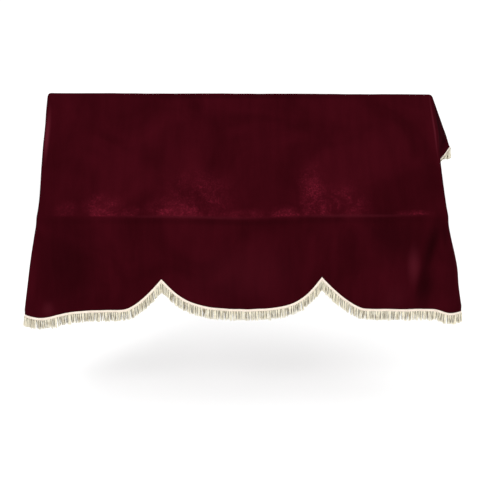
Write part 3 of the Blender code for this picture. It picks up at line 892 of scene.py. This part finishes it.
class Paint:
    """A material in the making. A method that makes nodes gives the output of the last one."""

    def __init__(self, name, colour, roughness, values=()):
        self.material = bpy.data.materials.new(name)
        self.material.use_nodes = True
        self.material.diffuse_color = (*colour, 1.0)
        self.tree = self.material.node_tree
        self.shader = self.tree.nodes["Principled BSDF"]
        self.shader.inputs["Base Color"].default_value = (*colour, 1.0)
        self.shader.inputs["Roughness"].default_value = roughness
        for socket, value in dict(values).items():
            self.shader.inputs[socket].default_value = value

    def put(self, value, socket):
        """Links an output to an input, or sets the input to a plain value."""
        if isinstance(value, bpy.types.NodeSocket):
            self.tree.links.new(value, socket)
        else:
            socket.default_value = value

    def node(self, kind, values=(), **settings):
        """The node itself, with what goes into its inputs by name or number."""
        made = self.tree.nodes.new(kind)
        for name, value in settings.items():
            setattr(made, name, value)
        for name, value in dict(values).items():
            self.put(value, made.inputs[name])
        return made

    def places(self):
        """Places on the flat cloth, or around and along a strand."""
        return self.node("ShaderNodeUVMap", uv_map="UVMap").outputs["UV"]

    def split(self, places):
        """The two values of each place."""
        made = self.node("ShaderNodeSeparateXYZ", {0: places})
        return made.outputs[0], made.outputs[1]

    def calc(self, operation, *values):
        made = self.node("ShaderNodeMath", enumerate(values), operation=operation)
        return made.outputs[0]

    def weighted(self, *parts):
        """The sum of some values, each times its weight."""
        total = 0.0
        for value, weight in parts:
            total = self.calc("MULTIPLY_ADD", value, weight, total)
        return total

    def noise(self, places, scale, detail, roughness, distortion, stretch=(1, 1, 1)):
        moved = self.node("ShaderNodeMapping", {"Vector": places, "Scale": stretch})
        made = self.node("ShaderNodeTexNoise", {
            "Vector": moved.outputs[0], "Scale": scale, "Detail": detail,
            "Roughness": roughness, "Distortion": distortion,
        })
        return made.outputs[0]

    def remap(self, value, low, high, to_low=0.0, to_high=1.0):
        """A value taken smoothly from one range to another."""
        made = self.node(
            "ShaderNodeMapRange",
            {"Value": value, "From Min": low, "From Max": high, "To Min": to_low, "To Max": to_high},
            interpolation_type="SMOOTHSTEP",
        )
        return made.outputs["Result"]

    def mix(self, share, first, second):
        """A mix of two colours, either an output or a tuple."""
        made = self.node("ShaderNodeMix", {"Factor": share}, data_type="RGBA", clamp_factor=True)
        for name, value in (("A", first), ("B", second)):
            socket = next(s for s in made.inputs if s.name == name and s.type == "RGBA")
            self.put((*value, 1.0) if isinstance(value, tuple) else value, socket)
        return next(s for s in made.outputs if s.type == "RGBA")

    def patch(self, places, across, along, wide, tall, turn, strength):
        """A soft oval on the flat cloth, turned by an angle in degrees."""
        moves = {
            "Location": (-across, -along, 0),
            "Rotation": (0, 0, math.radians(turn)),
            "Scale": (1 / wide, 1 / tall, 1),
        }
        for name, value in moves.items():
            places = self.node("ShaderNodeMapping", {"Vector": places, name: value}).outputs[0]
        away = self.node("ShaderNodeVectorMath", {0: places}, operation="LENGTH")
        return self.remap(away.outputs["Value"], 1.0, 0.0, 0.0, strength)

    def weave(self, places, threads):
        """Threads over and under, from two waves. threads is how many pass in a metre."""
        across, along = [
            self.calc("SINE", self.calc("MULTIPLY", place, threads * FULL_TURN))
            for place in self.split(places)
        ]
        return self.remap(self.calc("MULTIPLY", across, along), -1.0, 1.0)

    def done(self, colour, height, strength, distance):
        """Links a colour and a bump to the shader. Gives the material."""
        bump = self.node(
            "ShaderNodeBump", {"Height": height, "Strength": strength, "Distance": distance},
        )
        self.put(colour, self.shader.inputs["Base Color"])
        self.put(bump.outputs["Normal"], self.shader.inputs["Normal"])
        return self.material


def velvet_material():
    """Burgundy pile with painted highlights and shade, and pressed patches with a painted sheen
    where they catch the light above the shelf fold.
    """
    paint = Paint("velvet_pile", VELVET, 0.88, {
        "Specular IOR Level": 0.0,
        "Sheen Weight": 0.025,
        "Sheen Roughness": 0.30,
        "Sheen Tint": (0.90, 0.18, 0.26, 1.0),
    })
    flat = paint.places()

    # Painted sheen: pressed pile just above the shelf fold, where the cloth faces up into the light,
    # is painted lighter, broken up by clouds and veins
    pressed_sheen = 0.0
    for row in PRESSED_SHEEN_PATCHES:
        pressed_sheen = paint.calc("MAXIMUM", pressed_sheen, paint.patch(flat, *row))
    above_fold = paint.remap(paint.split(flat)[1], SHELF_FOLD + 0.003, SHELF_FOLD - 0.005)
    clouds = paint.remap(paint.noise(flat, *CLOUDS), 0.34, 0.60, 0.25, 1.0)
    veins = paint.remap(paint.noise(flat, *VEINS), 0.46, 0.66, GLOW_SHARE)
    for share in (above_fold, clouds, veins):
        pressed_sheen = paint.calc("MULTIPLY", pressed_sheen, share)

    slow = paint.remap(paint.noise(flat, *SLOW_TONE), 0.30, 0.72)
    streaks = paint.remap(paint.noise(flat, *STREAKS), 0.30, 0.72)
    colour = paint.mix(paint.weighted((slow, 0.74), (streaks, 0.26)), VELVET_DARK, VELVET_LIGHT)
    fine = paint.remap(paint.noise(flat, *FINE_TONE), 0.35, 0.65, 0.0, 0.30)
    colour = paint.mix(fine, colour, VELVET_DARK)
    # Painted sheen on the pressed patches
    colour = paint.mix(pressed_sheen, colour, VELVET_PRESSED_SHEEN)
    # Painted highlights along fold ridges and painted shade on the ear, beside the folds and along
    # the top edge
    for *oval, strength in PAINTED_HIGHLIGHTS_AND_SHADE:
        painted_light = paint.patch(flat, *oval, abs(strength))
        colour = paint.mix(painted_light, colour, VELVET_PAINTED_HIGHLIGHT if strength > 0 else VELVET_PAINTED_SHADE)

    pile = paint.noise(flat, *PILE)
    matted = paint.noise(flat, *MATTED)
    height = paint.weighted((pile, 0.35), (matted, 0.65), (pressed_sheen, 0.9))
    return paint.done(colour, height, 0.35, 0.0012)


def backing_material():
    """The plain woven back of the velvet."""
    paint = Paint("velvet_back", BACK, 0.92, {"Specular IOR Level": 0.15})
    weave = paint.weave(paint.places(), BACK_THREADS)
    return paint.done(paint.mix(weave, BACK_DARK, BACK_LIGHT), weave, 0.4, 0.0005)


def tape_material():
    """A pale woven band with a fine rib."""
    values = {"Specular IOR Level": 0.35, "Sheen Weight": 0.25}
    paint = Paint("tape_weave", TAPE_COLOUR, 0.62, values)
    flat = paint.places()
    worn = paint.remap(paint.noise(flat, *WEAR), 0.3, 0.7)
    colour = paint.mix(worn, TAPE_COLOUR, TAPE_SHADE)
    return paint.done(colour, paint.weave(flat, TAPE_THREADS), 0.5, 0.0004)


def yarn_material(name, pale, shade, turns):
    """Cream yarn twisted from plies. turns is how many ridges pass in a metre."""
    values = {"Specular IOR Level": 0.35, "Sheen Weight": 0.30}
    paint = Paint(name, pale, 0.55, values)
    places = paint.places()
    around, from_root = paint.split(places)
    lengthwise = paint.calc("MULTIPLY", from_root, turns * FULL_TURN)
    twist = paint.calc("MULTIPLY_ADD", around, PLIES * FULL_TURN, lengthwise)
    ply = paint.remap(paint.calc("SINE", twist), -1.0, 1.0)

    each = paint.remap(paint.noise(places, *YARN_TONE), 0.50, 0.66)
    # Painted shade: the shaded share grows towards the roots, where the strands crowd under the
    # tape, so the tips stay pale
    root_shade = paint.remap(from_root, 0.012, 0.034, 1.0, 0.40)
    colour = paint.mix(paint.calc("MULTIPLY", each, root_shade), pale, shade)
    # Painted shade: the flagged strands at the gaps between locks are drawn dark, fading out towards
    # the tips
    gap_shade = paint.calc("GREATER_THAN", around, GAP_SHADE_FLAG - 1.0)
    above_tip = paint.remap(from_root, 0.023, 0.036, 0.95, 0.0)
    gap_shade = paint.calc("MULTIPLY", gap_shade, above_tip)
    # Painted shade in the grooves between the plies
    ply_groove_shade = paint.remap(ply, 0.0, 0.35, 0.30, 0.0)
    for share, amount in ((gap_shade, GAP_SHADE), (ply_groove_shade, PLY_SHADE)):
        colour = paint.mix(share, colour, tuple(amount * value for value in shade))
    return paint.done(colour, ply, 0.8, 0.0005)


def add_camera():
    data = bpy.data.cameras.new("camera")
    data.sensor_width = SENSOR
    data.lens = SENSOR * FOCAL_PIXELS / FRAME_PIXELS
    camera = bpy.data.objects.new("camera", data)
    camera.location = CAMERA_PLACE
    camera.rotation_euler = (math.radians(90 + CAMERA_PITCH), 0.0, math.radians(CAMERA_YAW))
    bpy.context.scene.collection.objects.link(camera)
    bpy.context.scene.camera = camera


def add_light(name, place, size, watts):
    data = bpy.data.lights.new(name, "AREA")
    data.shape = "RECTANGLE"
    data.size, data.size_y = size
    data.energy = watts
    light = bpy.data.objects.new(name, data)
    light.location = place
    way = Vector(LIGHT_TARGET) - Vector(place)
    light.rotation_euler = way.to_track_quat("-Z", "Y").to_euler()
    bpy.context.scene.collection.objects.link(light)


def add_studio():
    """A pale floor, a white surround and three soft lights."""
    scene = bpy.context.scene
    scene.view_settings.view_transform = "Standard"
    world = bpy.data.worlds.new("surround")
    world.use_nodes = True
    background = world.node_tree.nodes["Background"]
    background.inputs["Color"].default_value = (1.0, 1.0, 1.0, 1.0)
    background.inputs["Strength"].default_value = SURROUND_STRENGTH
    scene.world = world

    mesh = bpy.data.meshes.new("floor")
    corners = [(x * FLOOR_HALF, y * FLOOR_HALF, 0) for x, y in ((-1, -1), (1, -1), (1, 1), (-1, 1))]
    mesh.from_pydata(corners, [], [(0, 1, 2, 3)])
    mesh.materials.append(Paint("floor_paint", (FLOOR_GREY,) * 3, 0.9).material)
    floor = bpy.data.objects.new("floor", mesh)
    floor.location = (0, 0, FLOOR_HEIGHT)
    scene.collection.objects.link(floor)

    for row in LIGHTS:
        add_light(*row)


def main():
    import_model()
    bpy.context.scene.collection.children.link(COLLECTION)
    add_camera()
    add_studio()
    rng = np.random.default_rng(SEED)

    velvet = velvet_material()
    backing = backing_material()
    tape_weave = tape_material()
    strand_yarn = yarn_material("strand_yarn", YARN_PALE, YARN_SHADE, STRAND_TURNS)
    cord_yarn = yarn_material("cord_yarn", TAPE_COLOUR, TAPE_SHADE, CORD_TURNS)
    dark_thread = Paint("dark_thread", VELVET_LIGHT, 0.6).material

    aways, inner, flat_along, flat_across = fine_cloth()
    cloth = build_cloth(inner, flat_along, flat_across, velvet, backing)
    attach(cloth, "root")
    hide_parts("cloth")

    normals = grid_normals(inner)
    rows = slice(0, -HEM_STEPS)
    columns = slice(HEM_STEPS, -HEM_STEPS)
    thickness = cloth_thickness(flat_along)
    hems = [
        ("left", (rows, HEM_STEPS), aways[0]),
        ("right", (rows, -HEM_STEPS - 1), aways[1]),
        ("front", (-HEM_STEPS - 1, columns), aways[2]),
    ]
    ear_set = np.zeros((*flat_along.shape, 2))
    ear_set[:, -HEM_STEPS - 1] = ear_fringe(flat_along[:, -1], inner[:, -HEM_STEPS - 1, 2])
    for side, place, away in hems:
        hem = (inner[place], away, normals[place], thickness[place])
        made = [
            ("tape_" + side, tape_mesh(*hem), tape_weave),
            ("braid_" + side, braid_mesh(*hem), cord_yarn),
            ("strands_" + side, strand_mesh(*hem, ear_set[place], rng), strand_yarn),
        ]
        for name, (points, faces, uvs), material in made:
            trim = add_piece(name, points, faces, uvs, [material])
            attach(trim, "root")
            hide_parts("fringe_" + side)

    back_edge = inner[0, columns]
    down = unit(inner[1, columns] - back_edge)
    points, faces, uvs = stitch_mesh(back_edge, down, normals[0, columns], thickness[0, columns])
    stitches = add_piece("back_hem_stitches", points, faces, uvs, [dark_thread])
    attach(stitches, "root")


COLLECTION = bpy.data.collections.new("piano_cover")
main()
